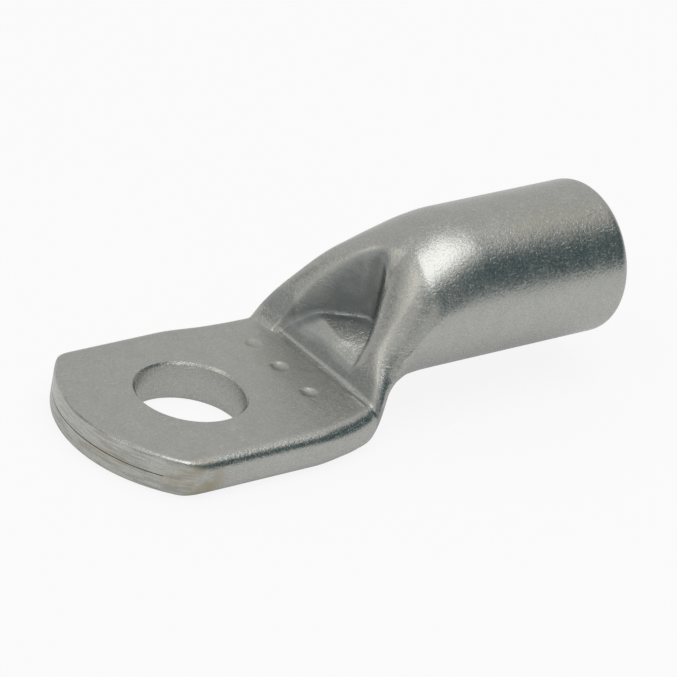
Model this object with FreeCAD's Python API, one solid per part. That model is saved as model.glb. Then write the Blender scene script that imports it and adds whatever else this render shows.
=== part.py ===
import FreeCAD, Part

import math
import os
from typing import NamedTuple

from FreeCAD import Vector

# Crimp lug pressed from one length of copper tube, sizes in millimetres.
# The origin is on the bolt hole's axis in the plane of the palm's underside.
# +X runs from the bolt hole towards the open end of the barrel and +Z is up.

# Barrel: the tube as it was cut from the bar
barrel_diameter = 12.0
bore_diameter = 8.5
barrel_end_x = 36.8
barrel_underside_height = 1.85
barrel_rim_round = 0.55
bore_mouth_bevel = 0.3

# Palm: the tube pressed flat, with two walls lying on each other
palm_width = 18.2
palm_thickness = 3.2
palm_side_round = 1.2
palm_front_x = -9.9
palm_front_radius = 11.6
palm_corner_round = 0.9
palm_front_edge_break = 0.3
palm_taper_start_x = 4.0
palm_rear_width = 16.35
palm_rear_offset_y = 0.2
bolt_hole_diameter = 8.4
bolt_hole_edge_break = 0.2
seam_gap = 0.12
seam_depth = 0.6
seam_side_margin = 1.9

# Neck: where the flat palm opens out into the round barrel
neck_start_x = 11.4
neck_length = 11.6
flat_angle_of_barrel = math.radians(30.0)

# Pocket: the hollow that the punch leaves between the two ridges of the neck
pocket_step = 0.2
pocket_offset_y = 0.5
pocket_far_half_width = 6.1
pocket_near_half_width = 3.4
pocket_near_shoulder_x = 13.7
pocket_apex_x = 17.3
pocket_apex_round = 1.1

# Tongue: the swelling of the pressed wall on the pocket's floor, with three flat faces
tongue_peak_x = 14.2
tongue_peak_y = 1.5
tongue_peak_height = 1.3
tongue_face_angle = 41.0
tongue_face_turn = 3.5
tongue_back_angle = 13.0
tongue_back_turn = 2.5
tongue_near_angle = 15.7
tongue_near_turn = 11.8

# Inside of the neck, behind the bore
throat_start_x = 20.0
throat_end_x = 14.6
throat_slit_half_width = 3.0
throat_slit_height = 0.5
throat_waist_half_width = 3.0
throat_waist_top = 4.0
throat_dip = 0.7

# Worked out from the sizes above
barrel_radius = barrel_diameter / 2
bore_radius = bore_diameter / 2
wall = barrel_radius - bore_radius
axis_height = barrel_underside_height + barrel_radius
neck_end_x = neck_start_x + neck_length

# Working limits: what counts as the same place and as a straight line, and how far cuts run past the metal
touching = 0.001
straight = 1e-9
overrun = 1.0


class Station(NamedTuple):
    """One cross-section of the neck, as shares of the way from the palm to the barrel.

    The offset is the share of the palm's sideways offset that is left there.
    """

    along: float
    narrowing: float
    offset: float
    underside: float
    waist: float
    crown: float
    lower_roundness: float
    upper_roundness: float


neck_stations = [
    Station(0.000, 0.00, 1.00, 0.00, 0.00, 0.00, 0.00, 0.00),
    Station(0.058, 0.12, 1.50, 0.00, 0.02, 0.11, 0.06, 0.04),
    Station(0.124, 0.38, 1.20, 0.00, 0.12, 0.31, 0.22, 0.11),
    Station(0.207, 0.78, 0.30, 0.12, 0.42, 0.54, 0.70, 0.24),
    Station(0.353, 0.96, 0.10, 0.55, 0.80, 0.74, 0.93, 0.50),
    Station(0.509, 1.00, 0.00, 0.90, 0.97, 0.85, 1.00, 0.80),
    Station(0.664, 1.00, 0.00, 0.99, 1.00, 0.92, 1.00, 0.95),
    Station(0.828, 1.00, 0.00, 1.00, 1.00, 0.975, 1.00, 0.99),
    Station(1.000, 1.00, 0.00, 1.00, 1.00, 1.00, 1.00, 1.00),
]


def between(start, end, share):
    """Value at a share of the way from start to end."""
    return start + (end - start) * share


def quarter_oval(half_width, half_height, corner_radius, flat_angle):
    """Three tangent arcs from the top of an oval to its widest point.

    Returns the points that the arcs pass through, as (sideways, up) from the centre
    of the widest line: start, middle and end of the crown arc, of the corner and of
    the flank arc. A flat angle of zero gives straight lines for the crown and flank.
    """
    sine = math.sin(flat_angle)
    cosine = math.cos(flat_angle)
    corner_run = corner_radius * (cosine - sine)
    spare_width = half_width - corner_run
    spare_height = half_height - corner_run
    if flat_angle == 0.0:
        crown_end = (spare_width, half_height)
        corner_middle = (
            spare_width + corner_radius * math.sin(math.pi / 4),
            spare_height + corner_radius * math.cos(math.pi / 4),
        )
        corner_end = (half_width, spare_height)
        crown_middle = (spare_width / 2, half_height)
        flank_middle = (half_width, spare_height / 2)
        crown_start = (0.0, half_height)
        flank_end = (half_width, 0.0)
        return [crown_start, crown_middle, crown_end, corner_middle, corner_end, flank_middle, flank_end]
    lean = 1.0 - cosine
    scale = sine * sine - lean * lean
    crown_radius = (spare_width * sine - spare_height * lean) / scale
    flank_radius = (spare_height * sine - spare_width * lean) / scale
    crown_centre = (0.0, half_height - crown_radius)
    flank_centre = (half_width - flank_radius, 0.0)
    corner_centre = (
        (crown_radius - corner_radius) * sine,
        crown_centre[1] + (crown_radius - corner_radius) * cosine,
    )

    def on_arc(centre, radius, angle):
        return (centre[0] + radius * math.sin(angle), centre[1] + radius * math.cos(angle))

    right_angle = math.pi / 2
    return [
        on_arc(crown_centre, crown_radius, 0.0),
        on_arc(crown_centre, crown_radius, flat_angle / 2),
        on_arc(crown_centre, crown_radius, flat_angle),
        on_arc(corner_centre, corner_radius, right_angle / 2),
        on_arc(corner_centre, corner_radius, right_angle - flat_angle),
        on_arc(flank_centre, flank_radius, right_angle - flat_angle / 2),
        on_arc(flank_centre, flank_radius, right_angle),
    ]


def oval_section(x, middle_y, half_width, bottom, waist, top, lower_shape, upper_shape):
    """Closed wire of eight tangent arcs across the lug, the same on both sides of its middle.

    The waist is the height of the widest line. Each shape is the radius of the two
    corners on that side of the waist and the angle that the flatter arcs span.
    """
    lower = quarter_oval(half_width, waist - bottom, *lower_shape)
    upper = quarter_oval(half_width, top - waist, *upper_shape)

    def point(side, quarter, index):
        sideways, height = quarter[index]
        up = height if quarter is upper else -height
        return Vector(x, middle_y + side * sideways, waist + up)

    def edge(start, through, end):
        if (through - start).cross(end - start).Length < straight:
            return Part.LineSegment(start, end).toShape()
        return Part.Arc(start, through, end).toShape()

    edges = [edge(point(-1, upper, 2), Vector(x, middle_y, top), point(1, upper, 2))]
    edges += [edge(*(point(1, upper, index) for index in run)) for run in ((2, 3, 4), (4, 5, 6))]
    edges += [edge(*(point(1, lower, index) for index in run)) for run in ((6, 5, 4), (4, 3, 2))]
    edges += [edge(point(1, lower, 2), Vector(x, middle_y, bottom), point(-1, lower, 2))]
    edges += [edge(*(point(-1, lower, index) for index in run)) for run in ((2, 3, 4), (4, 5, 6))]
    edges += [edge(*(point(-1, upper, index) for index in run)) for run in ((6, 5, 4), (4, 3, 2))]
    return Part.Wire(edges)


def palm_section(x, middle_y, width):
    """Cross-section of the pressed palm: flat top and bottom, sides rolled over."""
    half_thickness = palm_thickness / 2
    side_shape = (palm_side_round, 0.0)
    return oval_section(x, middle_y, width / 2, 0.0, half_thickness, palm_thickness, side_shape, side_shape)


def neck_section(station):
    """Cross-section of one station of the neck."""
    return oval_section(
        x=neck_start_x + neck_length * station.along,
        middle_y=palm_rear_offset_y * station.offset,
        half_width=between(palm_rear_width / 2, barrel_radius, station.narrowing),
        bottom=between(0.0, barrel_underside_height, station.underside),
        waist=between(palm_thickness / 2, axis_height, station.waist),
        top=between(palm_thickness, barrel_underside_height + barrel_diameter, station.crown),
        lower_shape=(
            between(palm_side_round, barrel_radius, station.lower_roundness),
            flat_angle_of_barrel * station.lower_roundness,
        ),
        upper_shape=(
            between(palm_side_round, barrel_radius, station.upper_roundness),
            flat_angle_of_barrel * station.upper_roundness,
        ),
    )


def make_neck():
    """Skin over the sections from the flat palm to the round barrel."""
    return Part.makeLoft([neck_section(station) for station in neck_stations], True, False)


def make_barrel():
    """Round tube from the end of the neck to the cable's end, with a rounded rim."""
    barrel = Part.makeCylinder(
        barrel_radius, barrel_end_x - neck_end_x, Vector(neck_end_x, 0, axis_height), Vector(1, 0, 0)
    )
    rim = [
        edge for edge in barrel.Edges
        if is_across(edge) and abs(edge.BoundBox.XMin - barrel_end_x) < touching
    ]
    return barrel.makeFillet(barrel_rim_round, rim)


def is_level(edge):
    """True for an edge that lies in one horizontal plane."""
    return edge.BoundBox.ZLength < touching


def is_across(edge):
    """True for an edge that lies in one plane across the lug."""
    return edge.BoundBox.XLength < touching


def make_pressed_strip():
    """Tube pressed flat before its front is cut: straight, then tapering to the neck."""
    blank_front_x = palm_front_x - palm_thickness
    return Part.makeLoft(
        [
            palm_section(blank_front_x, 0.0, palm_width),
            palm_section(palm_taper_start_x, 0.0, palm_width),
            palm_section(neck_start_x, palm_rear_offset_y, palm_rear_width),
        ],
        True,
        True,
    )


def make_shear():
    """Column that the press cuts the palm out with: arched in front, broken along the lower edge."""
    half_width = palm_width / 2
    arc_centre_x = palm_front_x + palm_front_radius
    corner_x = arc_centre_x - math.sqrt(palm_front_radius**2 - half_width**2)
    edges = [
        Part.LineSegment(Vector(neck_start_x, half_width, 0), Vector(corner_x, half_width, 0)).toShape(),
        Part.Arc(
            Vector(corner_x, half_width, 0), Vector(palm_front_x, 0, 0), Vector(corner_x, -half_width, 0)
        ).toShape(),
        Part.LineSegment(Vector(corner_x, -half_width, 0), Vector(neck_start_x, -half_width, 0)).toShape(),
        Part.LineSegment(Vector(neck_start_x, -half_width, 0), Vector(neck_start_x, half_width, 0)).toShape(),
    ]
    column = Part.Face(Part.Wire(edges)).extrude(Vector(0, 0, palm_thickness))
    corners = [
        edge for edge in column.Edges
        if not is_level(edge) and abs(edge.Vertexes[0].X - corner_x) < touching
    ]
    column = column.makeFillet(palm_corner_round, corners)
    lower_rim = [
        edge for edge in column.Edges
        if is_level(edge) and abs(edge.BoundBox.ZMin) < touching and not is_across(edge)
    ]
    return column.makeChamfer(palm_front_edge_break, lower_rim)


def make_palm():
    """Flat end of the lug: two walls pressed together with a cut front."""
    return make_pressed_strip().common(make_shear())


def pocket_outline(z):
    """Pointed outline in plan, wider on the far side, with a rounded apex towards the barrel."""
    centre = Vector(pocket_apex_x - pocket_apex_round, pocket_offset_y, z)
    far_base = Vector(neck_start_x, pocket_offset_y + pocket_far_half_width, z)
    near_side_y = pocket_offset_y - pocket_near_half_width
    near_base = Vector(neck_start_x, near_side_y, z)
    near_shoulder = Vector(pocket_near_shoulder_x, near_side_y, z)

    def tangent_from(point, side):
        run = point - centre
        angle = side * math.atan2(abs(run.y), run.x) - side * math.acos(pocket_apex_round / run.Length)
        return centre + Vector(math.cos(angle), math.sin(angle), 0) * pocket_apex_round

    far_tangent = tangent_from(far_base, 1)
    near_tangent = tangent_from(near_shoulder, -1)
    apex = centre + Vector(pocket_apex_round, 0, 0)
    edges = [
        Part.LineSegment(near_base, far_base).toShape(),
        Part.LineSegment(far_base, far_tangent).toShape(),
        Part.Arc(far_tangent, apex, near_tangent).toShape(),
        Part.LineSegment(near_tangent, near_shoulder).toShape(),
        Part.LineSegment(near_shoulder, near_base).toShape(),
    ]
    return Part.Wire(edges)


def half_space_below(peak, rise_along_x, rise_along_y):
    """Wide disc whose upper face passes through the peak and rises at the given angles."""
    along = math.tan(math.radians(rise_along_x))
    across = math.tan(math.radians(rise_along_y))
    normal = Vector(-along, -across, 1).normalize()
    reach = 2 * neck_length
    return Part.makeCylinder(reach, reach, peak - normal * reach, normal)


def make_tongue():
    """Swelling on the pocket's floor: a steep front face and two faces that rise to the barrel."""
    peak = Vector(tongue_peak_x, tongue_peak_y, palm_thickness + pocket_step + tongue_peak_height)
    face = half_space_below(peak, tongue_face_angle, tongue_face_turn)
    back = half_space_below(peak, tongue_back_angle, tongue_back_turn)
    near = half_space_below(peak, tongue_near_angle, tongue_near_turn)
    return face.common(back).common(near)


def make_pocket():
    """Room that the punch leaves: a pointed hollow above the tongue."""
    floor = palm_thickness + pocket_step
    hollow = Part.Face(pocket_outline(floor)).extrude(Vector(0, 0, barrel_diameter))
    return hollow.cut(make_tongue())


def throat_section(x, bottom, top, half_width):
    """Round or elliptical wire across the inside of the neck, in two halves."""
    centre = Vector(x, 0, (bottom + top) / 2)
    half_height = (top - bottom) / 2
    sideways = Vector(0, half_width, 0)
    upwards = Vector(0, 0, half_height)
    if abs(half_width - half_height) < touching:
        upper = Part.Arc(centre + sideways, centre + upwards, centre - sideways)
        lower = Part.Arc(centre - sideways, centre - upwards, centre + sideways)
    else:
        ellipse = Part.Ellipse(centre + sideways, centre + upwards, centre)
        upper = Part.ArcOfEllipse(ellipse, 0, math.pi)
        lower = Part.ArcOfEllipse(ellipse, math.pi, 2 * math.pi)
    return Part.Wire([upper.toShape(), lower.toShape()])


def make_throat():
    """Inside of the neck behind the bore, closing to a slit between the pressed walls."""
    bore_bottom = axis_height - bore_radius
    waist_x = between(throat_start_x, throat_end_x, 0.5)
    return Part.makeLoft(
        [
            throat_section(throat_start_x, bore_bottom, bore_bottom + bore_diameter, bore_radius),
            throat_section(waist_x, bore_bottom - throat_dip, throat_waist_top, throat_waist_half_width),
            throat_section(throat_end_x, wall, wall + throat_slit_height, throat_slit_half_width),
        ],
        True,
        False,
    )


def make_bore():
    """Round bore of the barrel with a bevelled mouth, and the throat behind it."""
    bore = Part.makeCylinder(
        bore_radius, barrel_end_x - throat_start_x, Vector(throat_start_x, 0, axis_height), Vector(1, 0, 0)
    )
    mouth = Part.makeCone(
        bore_radius,
        bore_radius + bore_mouth_bevel,
        bore_mouth_bevel,
        Vector(barrel_end_x - bore_mouth_bevel, 0, axis_height),
        Vector(1, 0, 0),
    )
    return bore.fuse([mouth, make_throat()])


def make_seam():
    """Fine gap between the two pressed walls, open along the palm's cut front."""
    centre = Vector(palm_front_x + palm_front_radius, 0, (palm_thickness - seam_gap) / 2)
    outer = Part.makeCylinder(palm_front_radius + overrun, seam_gap, centre)
    inner = Part.makeCylinder(palm_front_radius - seam_depth, seam_gap, centre)
    seam_width = palm_width - 2 * seam_side_margin
    corner = Vector(palm_front_x - overrun, -seam_width / 2, 0)
    front = Part.makeBox(palm_front_radius, seam_width, palm_thickness, corner)
    return outer.cut(inner).common(front)


def make_bolt_hole():
    """Clearance hole through the palm, with both edges broken."""
    radius = bolt_hole_diameter / 2
    hole = Part.makeCylinder(radius, palm_thickness)
    lower_break = Part.makeCone(radius + bolt_hole_edge_break, radius, bolt_hole_edge_break)
    break_foot = Vector(0, 0, palm_thickness - bolt_hole_edge_break)
    upper_break = Part.makeCone(radius, radius + bolt_hole_edge_break, bolt_hole_edge_break, break_foot)
    return hole.fuse([lower_break, upper_break])


def make_cable_lug():
    """The whole lug in one piece of tube."""
    body = make_palm().fuse([make_neck(), make_barrel()])
    body = body.cut(make_pocket())
    body = body.cut(make_bore())
    body = body.cut([make_bolt_hole(), make_seam()])
    return body.removeSplitter()


os.makedirs("parts", exist_ok=True)
cable_lug = make_cable_lug()
cable_lug.exportStep("parts/cable_lug.step")
print("cable_lug: solids", len(cable_lug.Solids), "volume", round(cable_lug.Volume))
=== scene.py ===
"""Dresses a pressed cable lug of tinned copper tube and sets it on a white table.

Lengths are millimetres while the lug is shaped and metres in the scene. The origin
is on the bolt hole's axis in the plane of the palm's underside, with +X towards the
open end of the barrel and +Z up. A field gives a number at every place: negative in
the metal, zero on its skin and positive outside.
"""

import logging
import math
from collections.abc import Callable, Sequence
from dataclasses import dataclass, field
from enum import Enum

import bmesh
import bpy
import numpy as np
from mathutils import Matrix, Vector

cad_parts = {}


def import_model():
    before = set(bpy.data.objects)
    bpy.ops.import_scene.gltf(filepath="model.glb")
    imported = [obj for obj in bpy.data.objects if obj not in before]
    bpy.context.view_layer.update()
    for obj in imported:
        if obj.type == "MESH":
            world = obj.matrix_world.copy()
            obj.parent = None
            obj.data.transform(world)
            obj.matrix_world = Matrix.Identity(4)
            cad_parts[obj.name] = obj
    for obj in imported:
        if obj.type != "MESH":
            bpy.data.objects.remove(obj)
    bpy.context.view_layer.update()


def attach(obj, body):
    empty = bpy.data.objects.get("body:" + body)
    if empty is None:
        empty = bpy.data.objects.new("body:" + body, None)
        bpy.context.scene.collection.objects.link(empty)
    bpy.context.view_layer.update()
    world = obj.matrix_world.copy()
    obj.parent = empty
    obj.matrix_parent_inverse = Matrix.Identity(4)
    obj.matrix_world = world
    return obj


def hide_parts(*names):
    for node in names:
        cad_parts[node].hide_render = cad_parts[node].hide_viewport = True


log = logging.getLogger("cable_lug")

MM = 0.001

# Directions: along the lug, straight up, and what is kept of a place or direction seen from above.
LENGTHWAYS = (1.0, 0.0, 0.0)
UPWARDS = (0.0, 0.0, 1.0)
LEVEL = (1.0, 1.0, 0.0)

# Sockets of a Mix node for colours, which share their names with its sockets for numbers.
MIX_SHARE, MIX_FIRST, MIX_SECOND, MIX_RESULT = 0, 6, 7, 2

Array = np.ndarray
Field = Callable[[Array, Array, Array], Array]
Span = tuple[float, float]
Point = tuple[float, float, float]
Colour = tuple[float, float, float, float]


def smooth_min(first: Array, second: Array, blend: float | Array) -> Array:
    """Smaller of two fields, rounded where they meet.

    Args:
        first: one field.
        second: the other field.
        blend: width over which the two flow together.

    Returns:
        The blended field.
    """
    share = np.clip(0.5 + 0.5 * (second - first) / blend, 0.0, 1.0)
    return second + (first - second) * share - blend * share * (1.0 - share)


def smooth_max(first: Array, second: Array, blend: float | Array) -> Array:
    """Larger of two fields, rounded where they meet."""
    return -smooth_min(-first, -second, blend)


def step_up(value: Array, low: float, high: float) -> Array:
    """Smooth step from 0 at low to 1 at high."""
    share = np.clip((value - low) / (high - low), 0.0, 1.0)
    return share * share * (3.0 - 2.0 * share)


@dataclass(frozen=True)
class Profile:
    """A size that changes smoothly along the lug.

    Stations are joined by curves that never overshoot, and the joints are then averaged
    out over a short length, so that reflections run over the neck without a kink.
    """

    stations: tuple[float, ...]
    values: tuple[float, ...]
    softening: float = 0.22
    reach: Span = (-15.0, 45.0)
    step: float = 0.02

    def tangents(self) -> Array:
        """Works out the slopes at the stations, flat wherever the size turns back.

        Returns:
            One slope per station.
        """
        steps = np.diff(self.stations)
        slopes = np.diff(self.values) / steps
        result = np.zeros(len(self.stations))
        for index in range(1, len(slopes)):
            before, after = slopes[index - 1], slopes[index]
            if before * after > 0.0:
                first = 2.0 * steps[index] + steps[index - 1]
                second = steps[index] + 2.0 * steps[index - 1]
                result[index] = (first + second) / (first / before + second / after)
        return result

    def curve(self, x: Array) -> Array:
        """Curve through the stations, level beyond them.

        Args:
            x: places along the lug.

        Returns:
            The size at each place, with its kinks.
        """
        stations = np.array(self.stations)
        values = np.array(self.values)
        tangents = self.tangents()
        x = np.clip(x, stations[0], stations[-1])
        cell = np.clip(np.searchsorted(stations, x) - 1, 0, len(stations) - 2)
        width = stations[cell + 1] - stations[cell]
        share = (x - stations[cell]) / width
        first = values[cell] * (1.0 + 2.0 * share) * (1.0 - share) ** 2
        second = values[cell + 1] * share**2 * (3.0 - 2.0 * share)
        bend = tangents[cell] * share * (1.0 - share) ** 2 - tangents[cell + 1] * share**2 * (1.0 - share)
        return first + second + width * bend

    def __call__(self, x: Array) -> Array:
        """Softened curve through the stations.

        Args:
            x: places along the lug.

        Returns:
            The size at each place.
        """
        samples = np.arange(*self.reach, self.step)
        count = int(3.0 * self.softening / self.step)
        offsets = np.arange(-count, count + 1) * self.step
        kernel = np.exp(-0.5 * (offsets / self.softening) ** 2)
        padded = np.pad(self.curve(samples), count, mode="edge")
        soft = np.convolve(padded, kernel / kernel.sum(), mode="valid")
        return np.interp(x, samples, soft)


@dataclass(frozen=True)
class Quarter:
    """One quarter of an oval section: a flat arc, a corner arc and a flat arc, all tangent."""

    half_width: Array
    half_height: Array
    radius: Array
    flat_angle: Array
    least_angle: float = 0.02

    def distance(self, across: Array, upright: Array) -> Array:
        """Distance outside the oval.

        Args:
            across: how far each point lies to the side of the oval's middle.
            upright: how far it lies above or below that middle.

        Returns:
            The distance of each point, negative inside.
        """
        angle = np.maximum(self.flat_angle, self.least_angle)
        sine, cosine = np.sin(angle), np.cos(angle)
        lean = 1.0 - cosine
        spare_width = self.half_width - self.radius * (cosine - sine)
        spare_height = self.half_height - self.radius * (cosine - sine)
        scale = sine**2 - lean**2
        crown = (spare_width * sine - spare_height * lean) / scale
        flank = (spare_height * sine - spare_width * lean) / scale
        centre_across = (crown - self.radius) * sine
        centre_upright = self.half_height - crown + (crown - self.radius) * cosine
        turn = np.arctan2(across - centre_across, upright - centre_upright)
        on_crown = np.hypot(across, upright - (self.half_height - crown)) - crown
        on_flank = np.hypot(across - (self.half_width - flank), upright) - flank
        on_corner = np.hypot(across - centre_across, upright - centre_upright) - self.radius
        inside = np.maximum(across - self.half_width, upright - self.half_height)
        result = np.where(turn < angle, on_crown, np.where(turn > math.pi / 2 - angle, on_flank, on_corner))
        deep = (across < centre_across) & (upright < centre_upright)
        return np.where(deep, inside, result)


def mesh_object(name: str, points: Array, faces: Sequence[Sequence[int]]) -> bpy.types.Object:
    """Makes an object from points in millimetres.

    Args:
        name: name of the object.
        points: one row of x, y and z per point.
        faces: corner indices of each face.

    Returns:
        The new object, linked to the scene and with its faces turned outwards.
    """
    mesh = bpy.data.meshes.new(name)
    mesh.from_pydata((points * MM).tolist(), [], [list(face) for face in faces])
    mesh.update()
    piece = bpy.data.objects.new(name, mesh)
    bpy.context.scene.collection.objects.link(piece)
    turn_outwards(mesh)
    return piece


def turn_outwards(mesh: bpy.types.Mesh) -> None:
    """Makes every face of a closed mesh point outwards.

    Args:
        mesh: the mesh, changed in place.
    """
    work = bmesh.new()
    work.from_mesh(mesh)
    bmesh.ops.recalc_face_normals(work, faces=work.faces)
    work.to_mesh(mesh)
    work.free()


def weld(mesh: bpy.types.Mesh, reach: float = 0.003) -> None:
    """Joins points that nearly coincide and drops the slivers between them.

    Args:
        mesh: the mesh, changed in place.
        reach: largest distance between such points, in millimetres.
    """
    work = bmesh.new()
    work.from_mesh(mesh)
    bmesh.ops.remove_doubles(work, verts=work.verts, dist=reach * MM)
    bmesh.ops.dissolve_degenerate(work, dist=reach * MM, edges=work.edges)
    work.to_mesh(mesh)
    work.free()


def cut_away(body: bpy.types.Object, cutter: bpy.types.Object) -> None:
    """Cuts one solid out of another for good.

    Args:
        body: the solid that is cut.
        cutter: the solid that is taken out of it, removed afterwards.
    """
    cut = body.modifiers.new("cut", "BOOLEAN")
    cut.operation = "DIFFERENCE"
    cut.solver = "EXACT"
    cut.object = cutter
    graph = bpy.context.evaluated_depsgraph_get()
    result = bpy.data.meshes.new_from_object(body.evaluated_get(graph))
    old = body.data
    body.modifiers.clear()
    body.data = result
    bpy.data.meshes.remove(old)
    bpy.data.objects.remove(cutter, do_unlink=True)


def turned_solid(name: str, rings: Sequence[tuple[float, float]], segments: int) -> bpy.types.Object:
    """Solid of revolution about Z.

    Args:
        name: name of the object.
        rings: radius and height of each ring, from bottom to top.
        segments: points in each ring.

    Returns:
        The closed solid.
    """
    angles = np.linspace(0.0, 2.0 * math.pi, segments, endpoint=False)
    points = [
        (radius * math.cos(angle), radius * math.sin(angle), height)
        for radius, height in rings
        for angle in angles
    ]
    faces: list[Sequence[int]] = []
    for ring in range(len(rings) - 1):
        for step in range(segments):
            after = (step + 1) % segments
            low, high = ring * segments, (ring + 1) * segments
            faces.append((low + step, low + after, high + after, high + step))
    faces.append(tuple(reversed(range(segments))))
    faces.append(tuple((len(rings) - 1) * segments + step for step in range(segments)))
    return mesh_object(name, np.array(points), faces)


@dataclass
class SkinMaker:
    """Turns a field into an even mesh of quads."""

    solid: Field
    low: Point
    high: Point
    pitch: float
    rounds: int = 3
    easing: float = 0.6
    probe: float = 0.01
    least_slope: float = 0.05
    longest_move: float = 0.6
    least_move: float = 1e-9

    def make(self, name: str) -> bpy.types.Object:
        """Meshes the field's zero surface.

        Args:
            name: name of the object.

        Returns:
            The closed skin.
        """
        axes = [np.arange(start, end + self.pitch, self.pitch) for start, end in zip(self.low, self.high)]
        grid = np.meshgrid(*axes, indexing="ij")
        values = self.solid(*grid)
        cells = [size - 1 for size in values.shape]
        position_sum = np.zeros((*cells, 3))
        crossings = np.zeros(cells)
        for axis in range(3):
            self.add_crossings(values, axes, axis, position_sum, crossings)
        used = crossings > 0
        index = np.full(cells, -1)
        index[used] = np.arange(int(used.sum()))
        points = position_sum[used] / crossings[used][:, None]
        faces = np.concatenate([self.quads(values, index, axis) for axis in range(3)])
        points = self.settle(points, faces)
        return mesh_object(name, points, faces.tolist())

    def crossed(self, values: Array, axis: int) -> tuple[Array, Array, Array]:
        """Finds the steps of the grid along one axis that pass through the skin.

        Args:
            values: the field on the grid.
            axis: number of the axis.

        Returns:
            The first corner of each such step, and the field at its start and its end.
        """
        first = np.take(values, range(values.shape[axis] - 1), axis)
        second = np.take(values, range(1, values.shape[axis]), axis)
        where = np.argwhere((first < 0) != (second < 0))
        return where, first[tuple(where.T)], second[tuple(where.T)]

    def add_crossings(
        self, values: Array, axes: Sequence[Array], axis: int, position_sum: Array, crossings: Array
    ) -> None:
        """Adds where the skin crosses the grid's lines along one axis to the cells beside them.

        Args:
            values: the field on the grid.
            axes: the grid's stations along each axis.
            axis: number of the axis.
            position_sum: sum of the crossings' places in each cell, changed in place.
            crossings: number of crossings in each cell, changed in place.
        """
        where, start, end = self.crossed(values, axis)
        place = np.stack([axes[k][where[:, k]] for k in range(3)], axis=1)
        place[:, axis] += start / (start - end) * self.pitch
        others = [k for k in range(3) if k != axis]
        for back_a in (0, 1):
            for back_b in (0, 1):
                cell = where.copy()
                cell[:, others[0]] -= back_a
                cell[:, others[1]] -= back_b
                key = tuple(cell.T)
                np.add.at(position_sum, key, place)
                np.add.at(crossings, key, 1.0)

    def quads(self, values: Array, index: Array, axis: int) -> Array:
        """Faces that cross the grid's lines along one axis.

        Args:
            values: the field on the grid.
            index: number of each cell's point.
            axis: number of the axis.

        Returns:
            One row of four corners per face.
        """
        where, _, end = self.crossed(values, axis)
        flip = end < 0
        a, b = (axis + 1) % 3, (axis + 2) % 3
        corners = []
        for back_a, back_b in ((1, 1), (0, 1), (0, 0), (1, 0)):
            cell = where.copy()
            cell[:, a] -= back_a
            cell[:, b] -= back_b
            corners.append(index[tuple(cell.T)])
        faces = np.stack(corners, axis=1)
        faces[flip] = faces[flip][:, ::-1]
        return faces

    def slope(self, points: Array) -> tuple[Array, Array]:
        """Measures the field and how it changes at each point.

        Args:
            points: one row of x, y and z per point.

        Returns:
            The field's value and its gradient.
        """
        value = self.solid(*points.T)
        gradient = np.empty_like(points)
        for axis in range(3):
            ahead = points.copy()
            behind = points.copy()
            ahead[:, axis] += self.probe
            behind[:, axis] -= self.probe
            gradient[:, axis] = (self.solid(*ahead.T) - self.solid(*behind.T)) / (2.0 * self.probe)
        return value, gradient

    def land(self, points: Array) -> Array:
        """Moves points down the field's slope onto its zero surface.

        Args:
            points: one row of x, y and z per point.

        Returns:
            The points on the skin.
        """
        for _ in range(self.rounds):
            value, gradient = self.slope(points)
            size = np.maximum((gradient**2).sum(axis=1), self.least_slope)
            move = -gradient * (value / size)[:, None]
            reach = np.linalg.norm(move, axis=1, keepdims=True)
            longest = self.longest_move * self.pitch
            points = points + move * np.minimum(1.0, longest / np.maximum(reach, self.least_move))
        return points

    def settle(self, points: Array, faces: Array) -> Array:
        """Evens out the spacing of the points and lands them on the skin.

        Args:
            points: one row of x, y and z per point.
            faces: one row of four corners per face.

        Returns:
            The settled points.
        """
        edges = np.concatenate([faces[:, [k, (k + 1) % 4]] for k in range(4)])
        edges = np.concatenate([edges, edges[:, ::-1]])
        own, other = edges.T
        count = np.bincount(own, minlength=len(points))
        points = self.land(points)
        for _ in range(self.rounds):
            sums = [np.bincount(own, points[other, k], len(points)) for k in range(3)]
            mean = np.stack([total / count for total in sums], axis=1)
            points = self.land(points + self.easing * (mean - points))
        return points


class Operation(Enum):
    """Sums that the Math and Vector Math nodes do."""

    ADD = "ADD"
    SUBTRACT = "SUBTRACT"
    MULTIPLY = "MULTIPLY"
    DOT_PRODUCT = "DOT_PRODUCT"
    LENGTH = "LENGTH"
    NORMALIZE = "NORMALIZE"


class Ray(Enum):
    """Rays that the table and the room answer in their own way."""

    CAMERA = "Is Camera Ray"
    GLOSSY = "Is Glossy Ray"


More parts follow.
